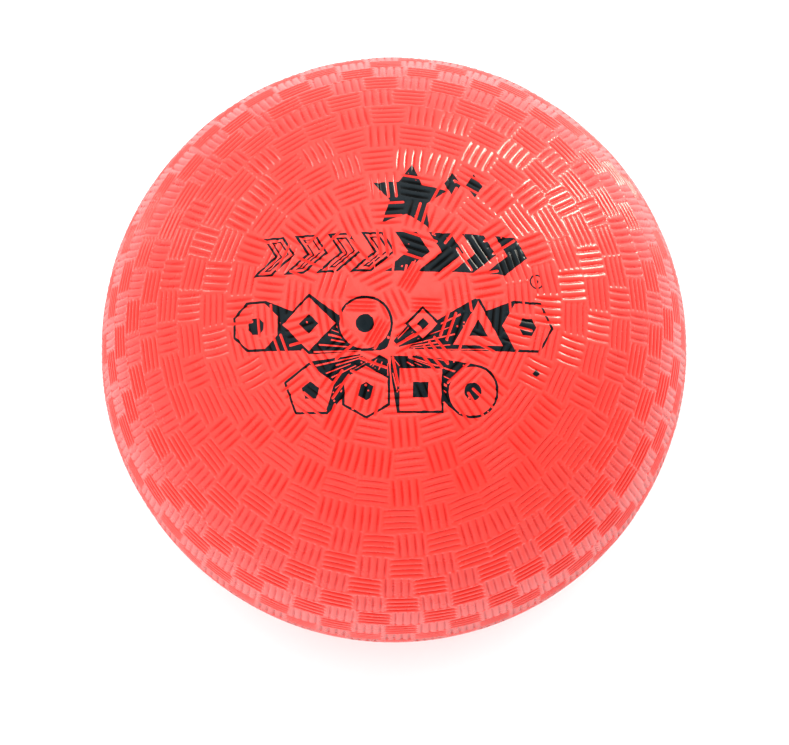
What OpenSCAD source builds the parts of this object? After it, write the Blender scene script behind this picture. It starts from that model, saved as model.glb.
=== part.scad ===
// Inflatable rubber playground ball, nominal 7 inch size.
//
// The origin is the ball's centre. +Z runs through the middle of the printed side, where the
// rings of the moulded texture are centred, and +Y runs out along the inflation valve.
// From the outside in, the wall is a cover and a bladder, bonded face to face. The valve's
// housing passes through both, its flange is bonded inside on a reinforcing patch, and a
// self-sealing core is pressed into it.

/* [Ball] */
// Outside diameter of the inflated ball
ball_d = 177.8; // [150:0.1:330]
// Thickness of the textured outer cover
cover_t = 1.4; // [1.2:0.1:3]
// Thickness of the airtight bladder bonded inside the cover
bladder_t = 1.0; // [0.6:0.1:2]

/* [Valve housing] */
// Radius of the neck, where it passes through the wall
neck_r = 4.6; // [4.4:0.1:5.5]
// How far the neck's end sits below the ball's surface
neck_recess = 0.6; // [0.3:0.1:1]
// Width of the chamfer round the cover's valve hole
mouth_chamfer = 0.7; // [0.3:0.1:1]
// Radius of the barrel that hangs inside the ball
barrel_r = 6.0; // [5.6:0.1:7]
// Depth of the barrel's end below the ball's surface
barrel_depth = 18; // [16:0.5:24]
// Length of the taper at the barrel's inner end
barrel_taper = 4; // [2:0.5:6]
// Radius of the bonded flange
flange_r = 13; // [9:0.5:15]
// Thickness of the bonded flange
flange_t = 1.3; // [0.8:0.1:2]

/* [Patch] */
// Radius of the reinforcing patch under the flange
patch_r = 19; // [17:0.5:20]
// Thickness of the reinforcing patch
patch_t = 0.9; // [0.7:0.1:1.5]

/* [Valve core] */
// Radius of the core's stem
stem_r = 2.9; // [2.6:0.1:3]
// Radius of the core's head
head_r = 3.7; // [3.6:0.1:3.9]
// Thickness of the core's head
head_t = 1.4; // [1:0.1:1.8]
// Radius of the rib that locks the core in its housing
rib_r = 3.5; // [3.2:0.1:3.8]
// Length of the rib
rib_len = 2.2; // [1.5:0.1:3]
// Depth of the rib's upper face below the ball's surface
rib_depth = 10; // [9.5:0.5:11]
// Length of the core's tip, beyond the barrel's end
tip_len = 3; // [2:0.5:4]
// Radius of the guide bore that the inflation needle enters
needle_r = 1.1; // [1.05:0.01:1.3]
// Length of the guide bore, down to where the core seals itself
needle_len = 6.5; // [4:0.5:7]
// Radius of the funnel round the guide bore's mouth
funnel_r = 2.0; // [1.6:0.1:2.4]
// Depth of the funnel
funnel_depth = 1.2; // [0.6:0.1:1.6]

/* [Hidden] */

$fn = 96;
over = 1;                                   // how far a cutter runs past what it cuts

// Radii of the layers, from the outside in
ball_r = ball_d / 2;
bladder_or = ball_r - cover_t;
bladder_ir = bladder_or - bladder_t;
patch_ir = bladder_ir - patch_t;
flange_ir = patch_ir - flange_t;

// Heights along the valve's axis, from the ball's centre
neck_end = ball_r - neck_recess;
head_end = neck_end - 0.3;
head_seat = head_end - head_t;
rib_top = ball_r - rib_depth;
barrel_end = ball_r - barrel_depth;
core_end = barrel_end - tip_len;
guide_top = head_end - funnel_depth;
guide_end = guide_top - needle_len;

barrel_end_r = barrel_r - 1.4;              // small end of the barrel's taper
tip_r = stem_r / 2;                         // flat end of the core's tip
edge = 0.3;                                 // chamfer on the neck's and the head's outer edges
rim_bevel = 1;                              // how far the patch's and the flange's rims slope in

// Turns something built along +Z to lie along the valve's axis, +Y
module along_valve() {
    rotate([-90, 0, 0]) children();
}

// Hollow ball between two radii
module shell(outer, inner) {
    difference() {
        sphere(r = outer);
        sphere(r = inner);
    }
}

// Dished disc round the valve's axis: the part of a shell inside a rim that slopes inwards
module dished_disc(outer, inner, radius) {
    rim_r = radius - rim_bevel;
    low = sqrt(inner * inner - rim_r * rim_r);
    high = sqrt(outer * outer - radius * radius);
    height = outer + over - low;
    intersection() {
        shell(outer, inner);
        translate([0, 0, low])
            cylinder(h = height, r1 = rim_r, r2 = rim_r + height * rim_bevel / (high - low));
    }
}

// Hole through the wall for the valve's neck
module neck_hole() {
    translate([0, 0, flange_ir - over])
        cylinder(h = ball_r - flange_ir + 2 * over, r = neck_r);
}

// Textured outer cover, with a chamfered hole for the valve
module cover() {
    color([0.93, 0.20, 0.17])
    along_valve() difference() {
        shell(ball_r, bladder_or);
        neck_hole();
        translate([0, 0, ball_r - mouth_chamfer])
            cylinder(h = 2 * mouth_chamfer, r1 = neck_r, r2 = neck_r + 2 * mouth_chamfer);
    }
}

// Airtight inner ply
module bladder() {
    color([0.16, 0.15, 0.15])
    along_valve() difference() {
        shell(bladder_or, bladder_ir);
        neck_hole();
    }
}

// Reinforcing disc between the bladder and the valve's flange
module valve_patch() {
    color([0.30, 0.29, 0.28])
    along_valve() difference() {
        dished_disc(bladder_ir, patch_ir, patch_r);
        neck_hole();
    }
}

// Outside of the housing's neck and barrel
module housing_body() {
    barrel_top = patch_ir - flange_t / 2;
    rotate_extrude() polygon([
        [0, barrel_end],
        [barrel_end_r, barrel_end],
        [barrel_r, barrel_end + barrel_taper],
        [barrel_r, barrel_top],
        [neck_r, barrel_top],
        [neck_r, neck_end - edge],
        [neck_r - edge, neck_end],
        [0, neck_end]
    ]);
}

// Space inside the housing that the core fills, open at both ends
module core_space() {
    rotate_extrude() polygon([
        [0, barrel_end - over],
        [stem_r, barrel_end - over],
        [stem_r, rib_top - rib_len],
        [rib_r, rib_top - rib_len],
        [rib_r, rib_top],
        [stem_r, rib_top],
        [stem_r, head_seat],
        [head_r, head_seat],
        [head_r, neck_end + over],
        [0, neck_end + over]
    ]);
}

// Flanged sleeve cured to the wall
module valve_housing() {
    color([0.20, 0.18, 0.18])
    along_valve() difference() {
        union() {
            housing_body();
            dished_disc(patch_ir, flange_ir, flange_r);
        }
        core_space();
    }
}

// Self-sealing plug: the needle's guide bore ends where the rubber closes on itself
module valve_core() {
    color([0.12, 0.12, 0.12])
    along_valve() rotate_extrude() polygon([
        [0, core_end],
        [tip_r, core_end],
        [stem_r, barrel_end],
        [stem_r, rib_top - rib_len],
        [rib_r, rib_top - rib_len],
        [rib_r, rib_top],
        [stem_r, rib_top],
        [stem_r, head_seat],
        [head_r, head_seat],
        [head_r, head_end - edge],
        [head_r - edge, head_end],
        [funnel_r, head_end],
        [needle_r, guide_top],
        [needle_r, guide_end],
        [0, guide_end]
    ]);
}

cover();
bladder();
valve_patch();
valve_housing();
valve_core();
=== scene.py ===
"""Playground ball: a glossy coral rubber cover with a moulded basket-weave texture and black print.

The CAD model gives the ball's size and its valve. This script makes the cover that is seen, with every
groove of the texture as geometry, then the floor, the lights and the camera. Lengths on the cover are in
millimetres until the meshes are built; Blender's own units are metres. A side is 1 for the upper piece of the
cover and -1 for the lower one.
"""
import math
import random

import bpy
import numpy as np
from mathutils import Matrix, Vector
from mathutils.geometry import convex_hull_2d, delaunay_2d_cdt
from mathutils.kdtree import KDTree


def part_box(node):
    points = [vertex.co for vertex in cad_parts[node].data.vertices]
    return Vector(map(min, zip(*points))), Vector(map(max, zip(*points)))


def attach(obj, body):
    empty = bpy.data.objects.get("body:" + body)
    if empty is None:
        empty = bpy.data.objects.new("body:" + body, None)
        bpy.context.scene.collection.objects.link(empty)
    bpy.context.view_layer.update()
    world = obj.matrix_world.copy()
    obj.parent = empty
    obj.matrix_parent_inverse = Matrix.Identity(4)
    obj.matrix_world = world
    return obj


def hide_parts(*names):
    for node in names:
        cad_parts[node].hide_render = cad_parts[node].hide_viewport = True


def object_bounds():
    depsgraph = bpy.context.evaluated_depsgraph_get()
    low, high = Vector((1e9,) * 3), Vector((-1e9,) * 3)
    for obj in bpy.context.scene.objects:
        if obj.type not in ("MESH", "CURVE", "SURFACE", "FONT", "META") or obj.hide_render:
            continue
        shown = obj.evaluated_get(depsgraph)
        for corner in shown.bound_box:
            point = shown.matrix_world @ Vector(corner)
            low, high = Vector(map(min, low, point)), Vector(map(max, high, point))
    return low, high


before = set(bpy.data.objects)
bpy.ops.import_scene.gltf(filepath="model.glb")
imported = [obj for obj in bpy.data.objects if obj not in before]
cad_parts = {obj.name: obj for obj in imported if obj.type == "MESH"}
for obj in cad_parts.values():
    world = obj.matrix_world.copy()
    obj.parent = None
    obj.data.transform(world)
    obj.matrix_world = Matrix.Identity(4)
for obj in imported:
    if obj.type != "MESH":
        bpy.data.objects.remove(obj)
cad_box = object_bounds()

MM = 0.001


def outer_radius(node_name):
    """A round node's radius in mm, from its box, to the nearest tenth."""
    return round(max(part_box(node_name)[1]) / MM, 1)


BALL_R = outer_radius("cover")
INNER_R = outer_radius("bladder")

# The texture: rings of patches round the z axis, counted from the equator towards each pole
RING_STEP = math.radians(6.2)       # height of a ring
RINGS = 14                          # rings on each side of the equator
PAIRS_AT_EQUATOR = 28.2             # pairs of patches that a full-size ring would hold
CAP_R = BALL_R * (math.pi / 2 - RINGS * RING_STEP)  # the small cap that is left at a pole
CAP_TURNS = (0.4, 1.3)              # which way the grooves of the upper and the lower cap run
FIRST_PATCH = math.radians(264.4)   # azimuth of a patch whose grooves run along the ring
STARTS_TRIED = 6                    # starts tried for a ring, to keep its pattern even
GROOVES = 4                         # grooves in a patch
ALONG_PITCH = 2.25                  # spacing of grooves that run along the ring
ACROSS_PITCH = 2.33                 # spacing of grooves that run across it
END_GAP = 0.58                      # from the end of a groove's line to the edge of its patch
HAND_TURN = math.radians(1.6)       # how far a patch may be turned, as the mould was cut by hand
HAND_SHIFT = 0.07                   # how far a groove may be off its place
HAND_START = 0.12                   # how far a ring may start off the joints of the ring before, in patches

# A groove's section, and the rounded land between two grooves
GROOVE_HALF_W = 0.74
GROOVE_DEPTH = 0.50
GROOVE_POWER = 1.5                  # 1 would make a groove's section a plain V; more rounds its shoulders
END_RAMP = 0.9                      # distance from the end at which a groove is full depth
END_DEPTHS = (0.55, 0.8, 1.0)       # share of the full depth at the end, half-way up the ramp, and beyond it
LAND_HALF_W = 0.385                 # from a groove's rim to the top of the land beside it
LAND_DROP = 0.055                   # how much lower the land is at a groove's rim than at its top
LOOPS = ((0.74, 4), (0.40, 4), (0.11, 2))   # loops round a groove: distance from its line, steps at its ends
SIDE_STEPS = 3                      # steps along a loop's straight sides
INK_LOOP = 1                        # the loop that ink does not pass
CREST_POINTS = 4                    # points along the top of the land
GROOVE_SAMPLES = 10                 # points along a groove that are used to find it

# The slow unevenness of the inflated wall, as a sum of waves
SWELL_WAVES = 14
SWELL_TURNS = (6, 17)               # radians of wave in a ball's radius, least and most
SWELL_SIZE = 0.32                   # a wave's height times those radians

# The print
LINE_W = 0.75                       # outlines
THIN_LINE_W = 0.5                   # inner outlines of the arrows
INNER_ARROW = 1.45                  # from an arrow's outline to its inner one
ARROW_SIZE = (6.6, 12.4)
ARROW_PITCH = 10.2
ARROWS_AT = (-44, 10.2)             # lower left corner of the first one
ARROWS = 8
OUTLINED_ARROWS = 4                 # the first arrows are outlined, the others solid
ARROW_NOTCH = 0.85                  # of an arrow's width
ARROW_SLANT = 0.28
MIDDLE_SHARE = 0.33                 # size of the black middle in a shape
SHADE_FOCUS = (-2.0, -13.5)         # where the black blocks behind the shapes meet
SHADE_NEAR = 0.35                   # how much of a block's length is left, towards that point
STREAKS = 70                        # thin gaps in the blocks
ROUGH = 0.055                       # unevenness of the outlines
ROUGH_STEP = 1.3
FLAKES = 160                        # places where the print has come off
INKED_GROOVES = 0.60                # share of the grooves that the ink has run into

# The valve's surround and the line where the mould's halves meet
VALVE = np.array([0.0, 1.0, 0.0])   # direction of the valve
PAD_R = 9.4                         # smooth disc that the grooves stop at
PAD_AT = (4.6, 5.3, 7.2, 7.55, 8.25, 8.6, 9.4)  # distances from the valve's axis, and the heights there
PAD_HEIGHT = (-0.7, 0.0, 0.0, 0.22, 0.22, 0.0, 0.0)
PAD_GAP = 0.1                       # between the pad and a groove's rim
HOLE_POINTS = 48
PATCH_REACH = 12                    # farther than this from the pad, a patch is clear of it
VALVE_STEPS = 60                    # places along a groove that are tested against the pad
SHORTEST_RUN = 8                    # of those places: a shorter groove is left out
PARTING_HALF_W = 0.16
PARTING_HEIGHT = 0.07
PARTING_POINTS = 440

# The two pieces of the cover
SPLIT = math.pi / 2 + RING_STEP     # polar angle where they meet
RIM_POINTS = 448
INNER_STEP = 6.0                    # between the rings of points on the smooth inside
INNER_SPACING = 7                   # between the points of such a ring
INNER_CLEAR = 2                     # from those points to the valve's hole
TINY = 1e-5
DEPTH_NAME = "deep"                 # the mesh attribute that says how deep in a groove a point is


# ---------------------------------------------------------------- directions and flat charts


def polar_direction(polar, azimuth):
    """Unit vector at an angle from +z and an azimuth from +x."""
    polar, azimuth = np.broadcast_arrays(polar, azimuth)
    return np.stack((np.sin(polar) * np.cos(azimuth), np.sin(polar) * np.sin(azimuth), np.cos(polar)), -1)


def to_chart(directions, side):
    """Flattens directions about the pole on one side, keeping the distance from that pole in mm."""
    polar = np.arccos(np.clip(directions[..., 2] * side, -1, 1))
    stretch = BALL_R * polar / np.maximum(np.sin(polar), 1e-9)
    return np.stack((directions[..., 0] * stretch, directions[..., 1] * stretch * side), -1)


def from_chart(points, side):
    """The directions at some places of a flat chart."""
    reach = np.linalg.norm(points, axis=-1)
    shrink = np.sin(reach / BALL_R) / np.maximum(reach, 1e-9)
    return np.stack((points[..., 0] * shrink, points[..., 1] * shrink * side,
                     np.cos(reach / BALL_R) * side), -1)


def chart_reach(side):
    """Radius of a piece's flat chart."""
    return BALL_R * (SPLIT if side > 0 else math.pi - SPLIT)


def unit(vectors):
    return vectors / np.linalg.norm(vectors, axis=-1, keepdims=True)


# ---------------------------------------------------------------- the layout of the texture


def ring_against(before, count, draw):
    """A ring's start and directions, each patch running across the one beside it in the ring before.

    Of some starts tried, the one taken has the fewest neighbours that run the same way.
    """
    old_start, old_along = before
    old_step = math.tau / len(old_along)
    best = None
    for _ in range(STARTS_TRIED):
        shift = draw.randrange(len(old_along)) + draw.uniform(-HAND_START, HAND_START)
        start = old_start + shift * old_step
        middles = [start + math.tau * (j + 0.5) / count for j in range(count)]
        along = [not old_along[int((m - old_start) / old_step) % len(old_along)] for m in middles]
        doubles = sum(along[j] == along[j - 1] for j in range(count))
        if best is None or doubles < best[0]:
            best = (doubles, start, along)
    return best[1:]


def lay_patches():
    """Every patch as (polar angle, azimuth, number in its ring, whether its grooves run along the ring)."""
    draw = random.Random(11)
    count = 2 * round(PAIRS_AT_EQUATOR)
    equator = (FIRST_PATCH - math.pi / count, [j % 2 == 0 for j in range(count)])
    patches = []
    for side in (1, -1):
        before = equator
        for step in range(RINGS):
            mid = math.pi / 2 - side * RING_STEP * (step + 0.5)
            count = 2 * max(2, round(PAIRS_AT_EQUATOR * math.sin(mid)))
            if step > 0 or side < 0:
                before = ring_against(before, count, draw)
            start, along = before
            patches += [(mid, start + math.tau * (j + 0.5) / count, count, along[j]) for j in range(count)]
    return patches


def patch_axes(polar, azimuth):
    """A patch's middle, and its axes along and across the ring."""
    middle = polar_direction(polar, azimuth)
    along = np.array([-math.sin(azimuth), math.cos(azimuth), 0.0])
    return middle, along, np.cross(middle, along)


def lines_along(polar, count):
    """Grooves along a ring, as the ends' (along, across) places in mm from the patch's middle."""
    lines = []
    for i in range(GROOVES):
        across = (i - (GROOVES - 1) / 2) * ALONG_PITCH
        width = math.tau / count * BALL_R * math.sin(polar - across / BALL_R)
        reach = width / 2 - END_GAP
        lines.append(((-reach, across), (reach, across)))
    return lines


def lines_across(polar, count):
    """Grooves across a ring, closer together where the ring is near a pole and its patches are narrow."""
    narrow = min(math.sin(polar - RING_STEP / 2), math.sin(polar + RING_STEP / 2))
    width = math.tau / count * BALL_R * narrow
    pitch = min(ACROSS_PITCH, (width - 2 * GROOVE_HALF_W) / (GROOVES - 1))
    reach = RING_STEP * BALL_R / 2 - END_GAP
    places = [(i - (GROOVES - 1) / 2) * pitch for i in range(GROOVES)]
    return [((along, -reach), (along, reach)) for along in places]


def lines_on_cap():
    """Grooves on the small cap at a pole."""
    lines = []
    for i in range(GROOVES):
        across = (i - (GROOVES - 1) / 2) * ALONG_PITCH
        reach = math.sqrt(CAP_R ** 2 - across ** 2) - END_GAP
        lines.append(((-reach, across), (reach, across)))
    return lines


def by_hand(lines, draw):
    """The lines of a patch turned a little, and each one moved a little."""
    turn = draw.uniform(-HAND_TURN, HAND_TURN)
    cos, sin = math.cos(turn), math.sin(turn)
    moved = []
    for line in lines:
        da, db = draw.uniform(-HAND_SHIFT, HAND_SHIFT), draw.uniform(-HAND_SHIFT, HAND_SHIFT)
        moved.append([(cos * a - sin * b + da, sin * a + cos * b + db) for a, b in line])
    return moved


def clear_of_valve(line, middle, axes):
    """A groove's line cut back from the valve's pad, or None if too little is left."""
    if middle @ VALVE < math.cos((PAD_R + PATCH_REACH) / BALL_R):
        return line
    start, stop = np.array(line)
    steps = start + (stop - start) * np.linspace(0, 1, VALVE_STEPS)[:, None]
    places = unit(middle + (steps[:, :1] * axes[0] + steps[:, 1:] * axes[1]) / BALL_R)
    away = np.arccos(np.clip(places @ VALVE, -1, 1)) * BALL_R
    free = away > PAD_R + GROOVE_HALF_W + PAD_GAP
    if free.all():
        return line
    runs = np.flatnonzero(np.diff(np.concatenate(([0], free.astype(int), [0])))).reshape(-1, 2)
    if not len(runs):
        return None
    first, end = max(runs, key=lambda run: run[1] - run[0])
    if end - first < SHORTEST_RUN:
        return None
    return [tuple(steps[first]), tuple(steps[end - 1])]


def crests_between(lines):
    """The tops of the land between neighbouring grooves of a patch, as lines half-way between them."""
    return [[tuple((p + q) / 2 for p, q in zip(*ends)) for ends in zip(one, other)]
            for one, other in zip(lines, lines[1:])]


def lay_grooves():
    """All grooves, and the crests between them.

    Each is given as middles (n, 3), axes (n, 2, 3) and ends (n, 2, 2) in their patches' flat coordinates.
    """
    draw = random.Random(5)
    patches = [(polar, azimuth, (lines_along if runs_along else lines_across)(polar, count))
               for polar, azimuth, count, runs_along in lay_patches()]
    patches += [(polar, turn, lines_on_cap()) for polar, turn in zip((0.0, math.pi), CAP_TURNS)]
    grooves, crests = [], []
    for polar, azimuth, lines in patches:
        middle, *axes = patch_axes(polar, azimuth)
        cut = [clear_of_valve(line, middle, axes) for line in by_hand(lines, draw)]
        kept = [line for line in cut if line is not None]
        grooves += [(middle, axes, line) for line in kept]
        crests += [(middle, axes, line) for line in crests_between(kept)]
    return [[np.array(part) for part in zip(*lines)] for lines in (grooves, crests)]


def on_side(lines, side):
    """The grooves or crests that belong to one piece."""
    keep = (lines[0][:, 2] > math.cos(SPLIT)) == (side > 0)
    return [part[keep] for part in lines]


def on_chart(lines, flat, side):
    """Places given in the flat coordinates of the patches of some lines, moved to a piece's chart."""
    middles, axes, _ = lines
    spots = middles[:, None] + np.einsum("npi,nij->npj", flat, axes) / BALL_R
    return to_chart(unit(spots), side)


def pill(ends, radius, side_steps, arc_steps):
    """Outlines round many lines at one distance, anticlockwise, as (n, points, 2)."""
    ahead = unit(ends[:, 1] - ends[:, 0])
    right = np.stack((ahead[:, 1], -ahead[:, 0]), -1)
    points = []
    for start, stop, forward, normal in ((0, 1, ahead, right), (1, 0, -ahead, -right)):
        for i in range(side_steps + 1):
            t = i / side_steps
            points.append(ends[:, start] * (1 - t) + ends[:, stop] * t + normal * radius)
        for i in range(1, arc_steps):
            turn = math.pi * i / arc_steps
            points.append(ends[:, stop] + (normal * math.cos(turn) + forward * math.sin(turn)) * radius)
    return np.stack(points, 1)


# ---------------------------------------------------------------- the relief of the surface


def swell(directions):
    """Slow unevenness of the inflated wall: height in mm and its gradient."""
    draw = np.random.default_rng(3)
    height = np.zeros(len(directions))
    gradient = np.zeros_like(directions)
    for _ in range(SWELL_WAVES):
        wave = unit(draw.normal(size=3)) * draw.uniform(*SWELL_TURNS)
        phase = draw.uniform(0, math.tau)
        size = SWELL_SIZE / np.linalg.norm(wave)
        height += size * np.sin(directions @ wave + phase)
        gradient += (size * np.cos(directions @ wave + phase) / BALL_R)[:, None] * wave
    return height, gradient


def from_groove(directions, middles, axes, ends):
    """How far each point is from the line of its own groove, the way there, and how far from its ends."""
    scale = BALL_R / np.sum(directions * middles, -1)
    flat = np.stack([np.sum(directions * axes[:, i], -1) * scale for i in range(2)], -1)
    run = ends[:, 1] - ends[:, 0]
    length = np.linalg.norm(run, axis=-1)
    t = np.clip(np.sum((flat - ends[:, 0]) * run, -1) / length ** 2, 0, 1)
    away = flat - (ends[:, 0] + run * t[:, None])
    distance = np.linalg.norm(away, axis=-1)
    outward = away / np.maximum(distance, 1e-6)[:, None]
    outward = outward[:, :1] * axes[:, 0] + outward[:, 1:] * axes[:, 1]
    return distance, outward, np.minimum(t, 1 - t) * length


def groove_relief(directions, middles, axes, ends):
    """Height and gradient in the grooves, for points given with the groove that each belongs to.

    A groove's section is a V with round shoulders, and it gets shallower towards its ends. The land beside
    it is slightly rounded.
    """
    distance, outward, from_end = from_groove(directions, middles, axes, ends)
    inward = np.clip(1 - distance / GROOVE_HALF_W, 0, 1)
    depth = GROOVE_DEPTH * np.interp(from_end / END_RAMP, (0, 0.5, 1), END_DEPTHS)
    below_crest = np.clip(1 - (distance - GROOVE_HALF_W) / LAND_HALF_W, 0, 1)
    height = -depth * inward ** GROOVE_POWER - LAND_DROP * below_crest ** 2
    slope = depth * GROOVE_POWER / GROOVE_HALF_W * inward ** (GROOVE_POWER - 1)
    near_rim = np.clip(1 - 3 * inward, 0, 1)
    slope += 2 * LAND_DROP / LAND_HALF_W * below_crest * near_rim
    return height, slope[:, None] * outward


def nearest_grooves(directions, grooves):
    """For each point, the groove that passes nearest and roughly how far off it is, in mm."""
    middles, axes, ends = grooves
    tree = KDTree(len(ends) * GROOVE_SAMPLES)
    for i, t in enumerate(np.linspace(0, 1, GROOVE_SAMPLES)):
        flat = ends[:, 0] * (1 - t) + ends[:, 1] * t
        for j, spot in enumerate(unit(middles + np.einsum("ni,nij->nj", flat, axes) / BALL_R)):
            tree.insert(spot, i * len(ends) + j)
    tree.balance()
    found = [tree.find(direction)[1:] for direction in directions]
    return np.array([index % len(ends) for index, _ in found]), np.array([far for _, far in found]) * BALL_R


def pad_relief(directions):
    """Height and gradient of the valve's surround."""
    near = 0.1
    away = np.arccos(np.clip(directions @ VALVE, -1, 1)) * BALL_R
    height = np.interp(away, PAD_AT, PAD_HEIGHT)
    outward = directions * (directions @ VALVE)[:, None] - VALVE
    outward /= np.maximum(np.linalg.norm(outward, axis=-1, keepdims=True), 1e-9)
    rise = np.interp(away + near, PAD_AT, PAD_HEIGHT) - np.interp(away - near, PAD_AT, PAD_HEIGHT)
    return height, (rise / (2 * near))[:, None] * outward


def relief(directions, grooves):
    """Height of the surface over the ball's radius, its normal, and how deep in a groove it is (0 to 1)."""
    pick, distance = nearest_grooves(directions, grooves)
    inside = distance < 2 * GROOVE_HALF_W
    cut, lean = groove_relief(directions[inside], *(part[pick[inside]] for part in grooves))
    height, gradient = swell(directions)
    height[inside] += cut
    gradient[inside] += lean
    deep = np.zeros(len(directions))
    deep[inside] = -cut / GROOVE_DEPTH
    ring, rise = pad_relief(directions)
    height += ring
    gradient += rise
    on_parting = (np.abs(directions[:, 2]) < TINY) & (directions @ VALVE < math.cos(PAD_R / BALL_R))
    height[on_parting] += PARTING_HEIGHT
    return height, unit(directions - gradient), deep


# ---------------------------------------------------------------- the print


def ngon(x, y, radius, corners, turn=0.0):
    return [(x + radius * math.cos(turn + math.tau * i / corners),
             y + radius * math.sin(turn + math.tau * i / corners)) for i in range(corners)]


def oval(x, y, half_w, half_h, corners=28):
    return [(x + half_w * px, y + half_h * py) for px, py in ngon(0, 0, 1, corners)]


def star(x, y, radius, turn, waist, points=5):
    """A star whose inner corners are at a share of its radius."""
    reach = [radius if i % 2 == 0 else radius * waist for i in range(2 * points)]
    return [(x + r * math.cos(turn + math.pi * i / points), y + r * math.sin(turn + math.pi * i / points))
            for i, r in enumerate(reach)]


def arrow(x, y, width, height):
    """A slanted block with a pointed front and a notched back, from its lower left corner."""
    notch = ARROW_NOTCH * width
    flat = [(0, 0), (width, 0), (width + notch, height / 2),
            (width, height), (0, height), (notch, height / 2)]
    return [(x + px + ARROW_SLANT * py, y + py) for px, py in flat]


def inset(points, distance):
    """A polygon's outline moved inwards, with sharp corners. Its corners run anticlockwise."""
    sharpest = 0.35
    moved = []
    for i, corner in enumerate(points):
        before = Vector(corner) - Vector(points[i - 1])
        after = Vector(points[(i + 1) % len(points)]) - Vector(corner)
        n1 = Vector((-before.y, before.x)).normalized()
        n2 = Vector((-after.y, after.x)).normalized()
        mitre = (n1 + n2).normalized()
        moved.append(tuple(Vector(corner) + mitre * (distance / max(mitre.dot(n1), sharpest))))
    return moved


def anticlockwise(points):
    area = sum(points[i - 1][0] * y - x * points[i - 1][1] for i, (x, y) in enumerate(points))
    return points if area > 0 else points[::-1]


def outlined(points, width=LINE_W):
    """A shape with a black outline and nothing inside it."""
    return [(points, True), (inset(points, width), False)]


def shade(points):
    """The black block behind a shape, which narrows towards the point where all of them meet."""
    fx, fy = SHADE_FOCUS
    far = [(fx + SHADE_NEAR * (x - fx), fy + SHADE_NEAR * (y - fy)) for x, y in points]
    both = points + far
    return anticlockwise([both[i] for i in convex_hull_2d([Vector(point) for point in both])])


def rough(points, draw):
    """An outline with the small unevenness of a worn printing block."""
    shaky = []
    for i, (x, y) in enumerate(points):
        nx, ny = points[(i + 1) % len(points)]
        steps = max(1, round(math.hypot(nx - x, ny - y) / ROUGH_STEP))
        for j in range(steps):
            t = j / steps
            shaky.append((x + (nx - x) * t + draw.gauss(0, ROUGH), y + (ny - y) * t + draw.gauss(0, ROUGH)))
    return shaky


def streak(angle, start, stop, width):
    """A thin gap in the black blocks, along a line from the point where they meet."""
    fx, fy = SHADE_FOCUS
    cos, sin = math.cos(angle), math.sin(angle)
    corners = ((start, -width / 4), (stop, -width / 2), (stop, width / 2), (start, width / 4))
    return [(fx + r * cos - w * sin, fy + r * sin + w * cos) for r, w in corners]


def star_and_diamonds():
    diamonds = [(oval(x, 39.5, 2.7, 4.4, 4), True) for x in (18.2, 25.0)]
    return [(star(4.5, 34.5, 12.0, math.radians(84), 0.5), True)] + diamonds


def arrow_row():
    """Slanted arrows in a row: outlined twice on the left, solid on the right."""
    layers = []
    for i in range(ARROWS):
        shape = arrow(ARROWS_AT[0] + ARROW_PITCH * i, ARROWS_AT[1], *ARROW_SIZE)
        if i < OUTLINED_ARROWS:
            layers += outlined(shape) + outlined(inset(shape, INNER_ARROW), THIN_LINE_W)
        else:
            layers.append((shape, True))
    return layers


def streaks():
    """Thin gaps all round the point where the black blocks meet."""
    draw = random.Random(23)
    gaps = []
    for i in range(STREAKS):
        angle = math.tau * (i + draw.uniform(-0.3, 0.3)) / STREAKS
        start = draw.uniform(3, 12)
        gaps.append((streak(angle, start, start + draw.uniform(5, 22), draw.uniform(0.25, 0.7)), False))
    return gaps


def shape_rows():
    """Two rows of outlined shapes with black middles, and the black blocks behind them.

    Returns the layers of the blocks and those of the shapes.
    """
    up, flat_top = math.pi / 2, math.pi / 8
    upper = [(-42.5, -5.2, 8.4, 8, flat_top), (-25.6, -5.2, 9.2, 4, 0), (-8.6, -5.4, 8.3, 30, 0),
             (8.6, -5.6, 5.4, 4, 0), (25.4, -7.2, 10.4, 3, up), (41.0, -5.4, 9.0, 6, 0)]
    lower = [(-25.4, -25.4, 8.8, 5, up), (-8.4, -25.6, 8.4, 6, up), (8.0, -25.2, 10.0, 4, math.pi / 4),
             (24.0, -25.6, 8.2, 30, 0)]
    blocks, outlines, middles = [], [], []
    for x, y, radius, corners, turn in upper + lower:
        shape = ngon(x, y, radius, corners, turn)
        blocks.append((shade(shape), True))
        outlines += outlined(shape)
        middles.append((ngon(x, y, MIDDLE_SHARE * radius, corners, turn), True))
    return blocks, outlines + middles


def small_ring():
    """A small ring with a dot in it at the end of the arrows, and a small diamond under it."""
    ring = [(oval(44.2, 9.0, radius, radius), inked) for radius, inked in ((2.4, True), (1.85, False))]
    return ring + [(oval(44.2, 9.0, 0.7, 0.7, 12), True), (oval(44.4, -19.6, 1.3, 1.3, 4), True)]


def flakes():
    """Little places where the print has come off."""
    draw = random.Random(41)
    spots = []
    for _ in range(FLAKES):
        x, y = draw.uniform(-45, 45), draw.uniform(-34, 44)
        size = draw.uniform(0.15, 0.55)
        spots.append(([(x + px * draw.uniform(0.5, 1), y + py * draw.uniform(0.5, 1))
                       for px, py in ngon(0, 0, size, 6, draw.uniform(0, 1))], False))
    return spots


def print_layers():
    """The print, as (outline, inked) pairs in mm about the pole. A later one covers those before it."""
    draw = random.Random(17)

    def worn(layers):
        return [(rough(shape, draw), inked) for shape, inked in layers]

    blocks, shapes = shape_rows()
    behind = worn(star_and_diamonds() + arrow_row() + blocks)
    return behind + streaks() + worn(shapes + small_ring()) + flakes()


# ---------------------------------------------------------------- meshes


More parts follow.
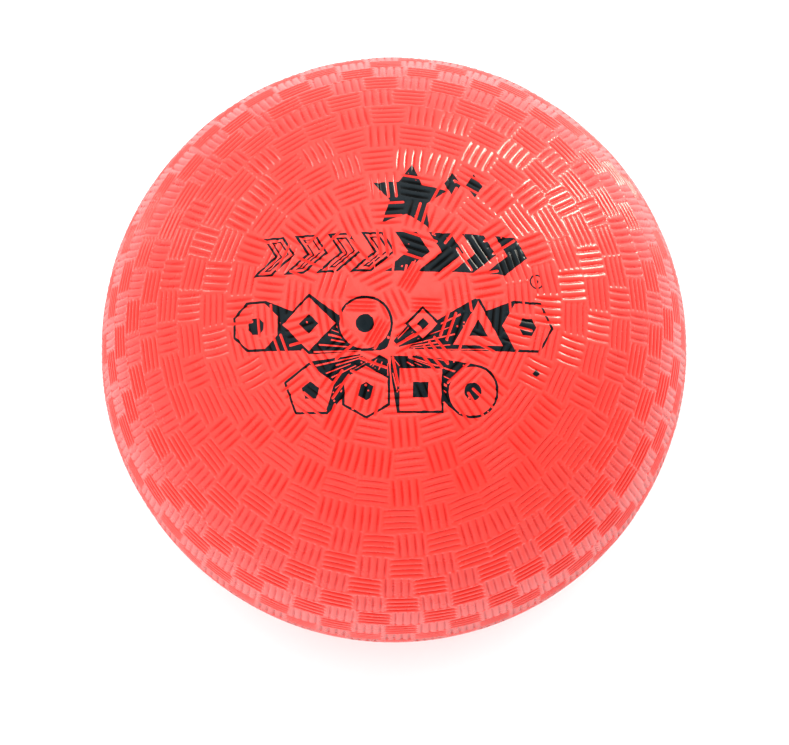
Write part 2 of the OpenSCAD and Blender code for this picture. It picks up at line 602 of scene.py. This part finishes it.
class Sheet:
    """Points, edges and faces on a flat chart, to be cut into triangles."""

    def __init__(self):
        self.points, self.edges, self.faces = [], [], []

    def add_points(self, points):
        """Adds points and returns their numbers."""
        base = len(self.points)
        self.points.extend(Vector(point) for point in points)
        return list(range(base, len(self.points)))

    def add_line(self, line):
        numbers = self.add_points(line)
        self.edges.extend(zip(numbers, numbers[1:]))

    def add_loop(self, loop, as_face=False):
        """Adds a closed outline, which is anticlockwise if it is a face, and returns its points' numbers."""
        numbers = self.add_points(loop)
        if as_face:
            self.faces.append(numbers)
        else:
            self.edges.extend(zip(numbers, numbers[1:] + numbers[:1]))
        return numbers

    def cut(self):
        """The points, the triangles, the faces each one lies in, and each old point's new number."""
        points, _, triangles, sources, _, origins = delaunay_2d_cdt(
            self.points, self.edges, self.faces, 0, TINY)
        renumbered = {old: new for new, olds in enumerate(sources) for old in olds}
        return np.array(points), triangles, origins, renumbered


def circle(count):
    turns = np.arange(count) * math.tau / count
    return np.stack((np.cos(turns), np.sin(turns)), -1)


def add_valve_hole(sheet, side):
    """Adds the valve's hole as a face, and the loops of the pad round it. Returns the hole's points."""
    around = circle(HOLE_POINTS)
    across = np.stack((around[:, 0], np.zeros(HOLE_POINTS), -around[:, 1]), -1)
    loops = [to_chart(VALVE * math.cos(r / BALL_R) + across * math.sin(r / BALL_R), side) for r in PAD_AT]
    hole = sheet.add_loop(loops[0], as_face=True)
    for loop in loops[1:]:
        sheet.add_loop(loop)
    return hole


def add_parting_line(sheet, side):
    """Adds the top and the two feet of the parting line, from one edge of the valve's pad to the other."""
    pad = PAD_R / BALL_R
    span = np.linspace(math.pi / 2 + pad, math.pi / 2 + math.tau - pad, PARTING_POINTS)
    for off in (-PARTING_HALF_W, 0, PARTING_HALF_W):
        sheet.add_line(to_chart(polar_direction(math.pi / 2 + off / BALL_R, span), side))


def grooved_surface(side, grooves, crests, layers):
    """One piece's outer surface. Grooves that end just past the rim leave thin triangles beyond it.

    Returns its directions, its triangles, whether each is inked, and the points of its rim and of the hole.
    """
    sheet = Sheet()
    for i, (away, arc_steps) in enumerate(LOOPS):
        for loop in on_chart(grooves, pill(grooves[2], away, SIDE_STEPS, arc_steps), side):
            sheet.add_loop(loop, as_face=i == INK_LOOP)
    groove_faces = len(sheet.faces)
    for line in on_chart(crests, np.linspace(crests[2][:, 0], crests[2][:, 1], CREST_POINTS, axis=1), side):
        sheet.add_line(line)
    rim = sheet.add_loop(chart_reach(side) * circle(RIM_POINTS))
    hole, hole_face = [], None
    if side > 0:
        hole_face = len(sheet.faces)
        hole = add_valve_hole(sheet, side)
        add_parting_line(sheet, side)
    first_layer = len(sheet.faces)
    for outline, _ in layers:
        sheet.add_loop(outline, as_face=True)
    points, triangles, origins, renumbered = sheet.cut()
    dry = np.random.default_rng(8).random(groove_faces) > INKED_GROOVES

    def is_inked(origin):
        """Whether ink shows in a triangle: the last layer over it decides, and ink misses the dry grooves."""
        if any(face < groove_faces and dry[face] for face in origin):
            return False
        top = max(origin, default=-1)
        return top >= first_layer and layers[top - first_layer][1]

    kept = [(triangle, is_inked(origin)) for triangle, origin in zip(triangles, origins)
            if hole_face not in origin]
    triangles, inked = zip(*kept)
    rim, hole = ([renumbered[i] for i in loop] for loop in (rim, hole))
    return from_chart(points, side), triangles, inked, rim, hole


def inner_surface(side, rim, hole):
    """One piece's smooth inside, between the directions of its rim and of the hole.

    Returns its directions, its triangles, and the points of its rim and of the hole.
    """
    sheet = Sheet()
    rim_points = sheet.add_loop(to_chart(rim, side))
    hole_points = sheet.add_loop(to_chart(hole, side), as_face=True) if len(hole) else []
    hole_places = [sheet.points[i] for i in hole_points]
    for ring in range(1, int(chart_reach(side) / INNER_STEP)):
        radius = ring * INNER_STEP
        spots = radius * circle(max(6, int(math.tau * radius / INNER_SPACING)))
        sheet.add_points(spot for spot in spots
                         if all((Vector(spot) - place).length > INNER_CLEAR for place in hole_places))
    points, triangles, origins, renumbered = sheet.cut()
    kept = [triangle for triangle, origin in zip(triangles, origins) if not origin]
    rim_points, hole_points = ([renumbered[i] for i in loop] for loop in (rim_points, hole_points))
    return from_chart(points, side), kept, rim_points, hole_points


def bridge(one, other):
    """Quads between two loops of the same length."""
    return [(one[i], one[(i + 1) % len(one)], other[(i + 1) % len(one)], other[i]) for i in range(len(one))]


def face_corners(mesh):
    """The number of the point at each corner of each face."""
    corners = np.zeros(len(mesh.loops), np.int32)
    mesh.loops.foreach_get("vertex_index", corners)
    return corners


def flatten_for_baking(mesh, side, directions, inner_dirs):
    """Texture coordinates: the outside as one big disc, the inside as a small one in a corner."""
    big, small, corner = 0.497, 0.07, 0.075
    outer = 0.5 + big * to_chart(directions, side) / chart_reach(side)
    inner = corner + small * to_chart(inner_dirs, side) / chart_reach(side)
    layer = mesh.uv_layers.new(name="OFBake")
    layer.data.foreach_set("uv", np.concatenate((outer, inner))[face_corners(mesh)].ravel())


def set_outer_normals(mesh, normals, outer_corners):
    """Gives the outside its own normals. A normal of zero leaves the corner's own."""
    corner_normals = np.zeros((len(mesh.loops), 3))
    corner_normals[:outer_corners] = normals[face_corners(mesh)[:outer_corners]]
    mesh.normals_split_custom_set(corner_normals.tolist())


def cover_piece(name, side, grooves, crests, layers, materials):
    """One piece of the cover: grooved outside, smooth inside, and walls between them at the rim and hole."""
    directions, triangles, inked, rim, hole = grooved_surface(side, grooves, crests, layers)
    height, normals, deep = relief(directions, grooves)
    inner_dirs, inner_faces, inner_rim, inner_hole = inner_surface(side, directions[rim], directions[hole])
    places = np.concatenate((directions * (BALL_R + height)[:, None], inner_dirs * INNER_R)) * MM
    base = len(directions)
    faces = [tuple(face) for face in triangles]
    faces += [tuple(base + i for i in reversed(face)) for face in inner_faces]
    for inner_loop, loop in ((inner_rim, rim), (inner_hole, hole)):
        faces += bridge([base + i for i in inner_loop], loop)
    mesh = bpy.data.meshes.new(name)
    mesh.from_pydata(places.tolist(), [], faces)
    for material in materials:
        mesh.materials.append(material)
    slots = np.zeros(len(faces), np.int32)
    slots[:len(inked)] = inked
    mesh.polygons.foreach_set("material_index", slots)
    mesh.polygons.foreach_set("use_smooth", np.ones(len(faces), bool))
    set_outer_normals(mesh, normals, 3 * len(triangles))
    # the depth in a groove also sets the painted shade at the grooves' bottoms in the materials
    depth = mesh.attributes.new(DEPTH_NAME, "FLOAT", "POINT")
    depth.data.foreach_set("value", np.concatenate((deep, np.zeros(len(inner_dirs)))))
    flatten_for_baking(mesh, side, directions, inner_dirs)
    mesh.update()
    piece = bpy.data.objects.new(name, mesh)
    bpy.context.scene.collection.objects.link(piece)
    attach(piece, "root")
    return piece


# ---------------------------------------------------------------- materials


def node(tree, kind, **values):
    """A new shader node with some of its inputs set by name."""
    made = tree.nodes.new(kind)
    for name, value in values.items():
        made.inputs[name.replace("_", " ")].default_value = value
    return made


MIX_A, MIX_B, MIX_RESULT = 6, 7, 2  # the Mix node's sockets for colours


def painted_groove_shade(tree, colour, groove_shade_colour):
    """A colour that turns to another, darker one at the bottoms of the cover's grooves: painted shade in the
    grooves, by how deep each point lies.
    """
    depth = tree.nodes.new("ShaderNodeAttribute")
    depth.attribute_name = DEPTH_NAME
    amount = node(tree, "ShaderNodeMapRange", From_Min=0.12, From_Max=0.62)
    mix = tree.nodes.new("ShaderNodeMix")
    mix.data_type = "RGBA"
    mix.inputs[MIX_B].default_value = (*groove_shade_colour, 1)
    tree.links.new(depth.outputs["Fac"], amount.inputs["Value"])
    tree.links.new(amount.outputs["Result"], mix.inputs["Factor"])
    tree.links.new(colour, mix.inputs[MIX_A])
    return mix.outputs[MIX_RESULT]


def mottled(name, colours, roughness, patch_scale, grain_scale, grain_depth, groove_shade_colour=None, ior=1.5):
    """Rubber, ink or paint: colour and gloss that drift over the surface, and a fine grain in its relief.

    With a groove shade colour, the bottoms of the cover's grooves get painted shade in that colour.
    """
    material = bpy.data.materials.new(name)
    material.use_nodes = True
    tree = material.node_tree
    shader = tree.nodes["Principled BSDF"]
    shader.inputs["IOR"].default_value = ior
    where = tree.nodes.new("ShaderNodeTexCoord")
    drift = node(tree, "ShaderNodeTexNoise", Scale=patch_scale, Detail=5.0, Roughness=0.6)
    grain = node(tree, "ShaderNodeTexNoise", Scale=grain_scale, Detail=3.0)
    blend = node(tree, "ShaderNodeValToRGB")
    gloss = node(tree, "ShaderNodeMapRange", From_Min=0.3, From_Max=0.7,
                 To_Min=roughness[0], To_Max=roughness[1])
    bump = node(tree, "ShaderNodeBump", Strength=0.5, Distance=grain_depth)
    for texture in (drift, grain):
        tree.links.new(where.outputs["Object"], texture.inputs["Vector"])
    for stop, position, colour in zip(blend.color_ramp.elements, (0.35, 0.68), colours):
        stop.position, stop.color = position, (*colour, 1)
    tree.links.new(drift.outputs["Fac"], blend.inputs["Fac"])
    base = blend.outputs["Color"]
    # painted shade: the grooves' bottoms are darkened towards the groove shade colour
    if groove_shade_colour is not None:
        base = painted_groove_shade(tree, base, groove_shade_colour)
    tree.links.new(base, shader.inputs["Base Color"])
    tree.links.new(drift.outputs["Fac"], gloss.inputs["Value"])
    tree.links.new(gloss.outputs["Result"], shader.inputs["Roughness"])
    tree.links.new(grain.outputs["Fac"], bump.inputs["Height"])
    tree.links.new(bump.outputs["Normal"], shader.inputs["Normal"])
    return material


# The groove shade colours below are painted shade at the bottoms of the grooves, on the rubber and on the
# ink.
coral = mottled("coral_rubber", ((0.80, 0.044, 0.033), (0.84, 0.051, 0.038)), (0.23, 0.31), 45, 1600, 0.00002,
                groove_shade_colour=(0.68, 0.020, 0.014), ior=1.34)
ink = mottled("black_ink", ((0.004, 0.007, 0.009), (0.008, 0.013, 0.016)), (0.16, 0.34), 160, 1500, 0.00002,
              groove_shade_colour=(0.002, 0.002, 0.002), ior=1.2)
butyl = mottled("butyl_rubber", ((0.018, 0.018, 0.020), (0.030, 0.030, 0.032)), (0.42, 0.60), 120, 2200,
                0.00004)
soft_black = mottled("valve_rubber", ((0.010, 0.010, 0.011), (0.020, 0.020, 0.021)), (0.34, 0.50), 300, 3000,
                     0.00003)
plug_black = mottled("plug_rubber", ((0.014, 0.013, 0.013), (0.028, 0.026, 0.025)), (0.50, 0.66), 400, 3000,
                     0.00004)
floor_paint = mottled("floor_paint", ((0.955,) * 3, (0.97,) * 3), (0.55, 0.65), 3, 400, 0.00002)


# ---------------------------------------------------------------- the ball

all_grooves, all_crests = lay_grooves()
for name, side, layers in (("cover_upper", 1, print_layers()), ("cover_lower", -1, [])):
    grooves, crests = on_side(all_grooves, side), on_side(all_crests, side)
    piece = cover_piece(name, side, grooves, crests, layers, (coral, ink))
    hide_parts("cover")

CAD_MATERIALS = {"bladder": butyl, "valve_patch": butyl,
                 "valve_housing": soft_black, "valve_core": plug_black}
for name, material in CAD_MATERIALS.items():
    for material_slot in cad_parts[name].material_slots:
        material_slot.material = material


# ---------------------------------------------------------------- floor and lights

bpy.ops.mesh.primitive_plane_add(size=14, location=(0, 0, cad_box[0][2]))
floor = bpy.context.object
floor.name = "floor"
floor.data.materials.append(floor_paint)
floor.visible_glossy = False        # the ball reflects the uneven surroundings below it instead


def softbox(name, place, size, power, colour=(1, 1, 1)):
    """A rectangular lamp that points at the ball and is hidden from the camera."""
    light = bpy.data.lights.new(name, "AREA")
    light.shape = "RECTANGLE"
    light.size, light.size_y = size
    light.energy = power
    light.color = colour
    lamp = bpy.data.objects.new(name, light)
    lamp.location = place
    lamp.rotation_euler = (-Vector(place)).to_track_quat("-Z", "Y").to_euler()
    lamp.visible_camera = False
    bpy.context.scene.collection.objects.link(lamp)
    return lamp


key = softbox("key", (0.72, 0.60, 0.02), (0.23, 0.20), 11.5, (1.0, 0.93, 0.78))
fill = softbox("fill", (-0.84, 0.52, 0.08), (0.18, 0.18), 2.4, (1.0, 0.96, 0.88))
key.visible_diffuse = fill.visible_diffuse = False
overhead = softbox("overhead", (0, -0.3, 2.2), (3.4, 3.4), 94)
overhead.visible_glossy = False

# The surroundings' strength at some heights of the direction (-1 is straight down, 1 straight up)
LEVEL = ((-1.0, 0.5), (-0.85, 1.8), (-0.6, 1.4), (-0.3, 1.0), (0.0, 0.95), (0.4, 1.0), (1.0, 0.8))
LEAN = ((-0.1, 0.05), (0.45, 1.2), (0.8, 1.8))
CROSS = 1.1
BEHIND = math.radians(102)          # azimuths of the two ways in which the strength changes
RIGHT = math.radians(12)


def math_node(tree, operation, *sources):
    """The result of a math node, whose inputs are numbers or other nodes' outputs."""
    made = tree.nodes.new("ShaderNodeMath")
    made.operation = operation
    for socket, source in zip(made.inputs, sources):
        if isinstance(source, float):
            socket.default_value = source
        else:
            tree.links.new(source, socket)
    return made.outputs["Value"]


def along_stops(tree, value, stops):
    """A number that follows (value, number) stops in straight lines."""
    total = stops[0][1]
    for (low, start), (high, stop) in zip(stops, stops[1:]):
        piece = node(tree, "ShaderNodeMapRange", From_Min=low, From_Max=high, To_Min=0, To_Max=stop - start)
        tree.links.new(value, piece.inputs["Value"])
        total = math_node(tree, "ADD", piece.outputs["Result"], total)
    return total


def towards(tree, direction, azimuth):
    """How far a direction points to an azimuth."""
    made = tree.nodes.new("ShaderNodeVectorMath")
    made.operation = "DOT_PRODUCT"
    made.inputs[1].default_value = (math.cos(azimuth), math.sin(azimuth), 0)
    tree.links.new(direction, made.inputs[0])
    return made.outputs["Value"]


def studio_world():
    """Soft surroundings: bright behind the ball and to its near left, dim to its near right.

    The strength is level + behind * (lean + CROSS * right), where level and lean depend on the height.
    """
    world = bpy.data.worlds.new("studio")
    world.use_nodes = True
    tree = world.node_tree
    direction = tree.nodes.new("ShaderNodeTexCoord").outputs["Generated"]
    split = tree.nodes.new("ShaderNodeSeparateXYZ")
    tree.links.new(direction, split.inputs[0])
    level, lean = (along_stops(tree, split.outputs["Z"], stops) for stops in (LEVEL, LEAN))
    behind, right = (towards(tree, direction, azimuth) for azimuth in (BEHIND, RIGHT))
    leaning = math_node(tree, "MULTIPLY_ADD", right, CROSS, lean)
    strength = math_node(tree, "MAXIMUM", math_node(tree, "MULTIPLY_ADD", behind, leaning, level), 0.0)
    background = tree.nodes["Background"]
    background.inputs["Color"].default_value = (1, 1, 1, 1)
    tree.links.new(strength, background.inputs["Strength"])
    return world


bpy.context.scene.world = studio_world()


# ---------------------------------------------------------------- camera

CAMERA_ELEVATION = math.radians(81.4)
CAMERA_DISTANCE = 3.2
OUTLINE_SHARE = 0.742               # of the picture's width that the ball's outline takes
SHIFT = (0.0007, -0.0289)           # of the picture's width, from the middle of the picture to the ball
FAR = 50

camera_data = bpy.data.cameras.new("camera")
outline_r = BALL_R * MM / math.sqrt(CAMERA_DISTANCE ** 2 - (BALL_R * MM) ** 2)
camera_data.lens = camera_data.sensor_width * OUTLINE_SHARE / 2 / outline_r
camera_data.shift_x, camera_data.shift_y = SHIFT
camera_data.clip_end = FAR
camera = bpy.data.objects.new("camera", camera_data)
camera.location = (0, -CAMERA_DISTANCE * math.cos(CAMERA_ELEVATION),
                   CAMERA_DISTANCE * math.sin(CAMERA_ELEVATION))
camera.rotation_euler = (math.pi / 2 - CAMERA_ELEVATION, 0, 0)
bpy.context.scene.collection.objects.link(camera)
bpy.context.scene.camera = camera
bpy.context.scene.view_settings.view_transform = "Standard"
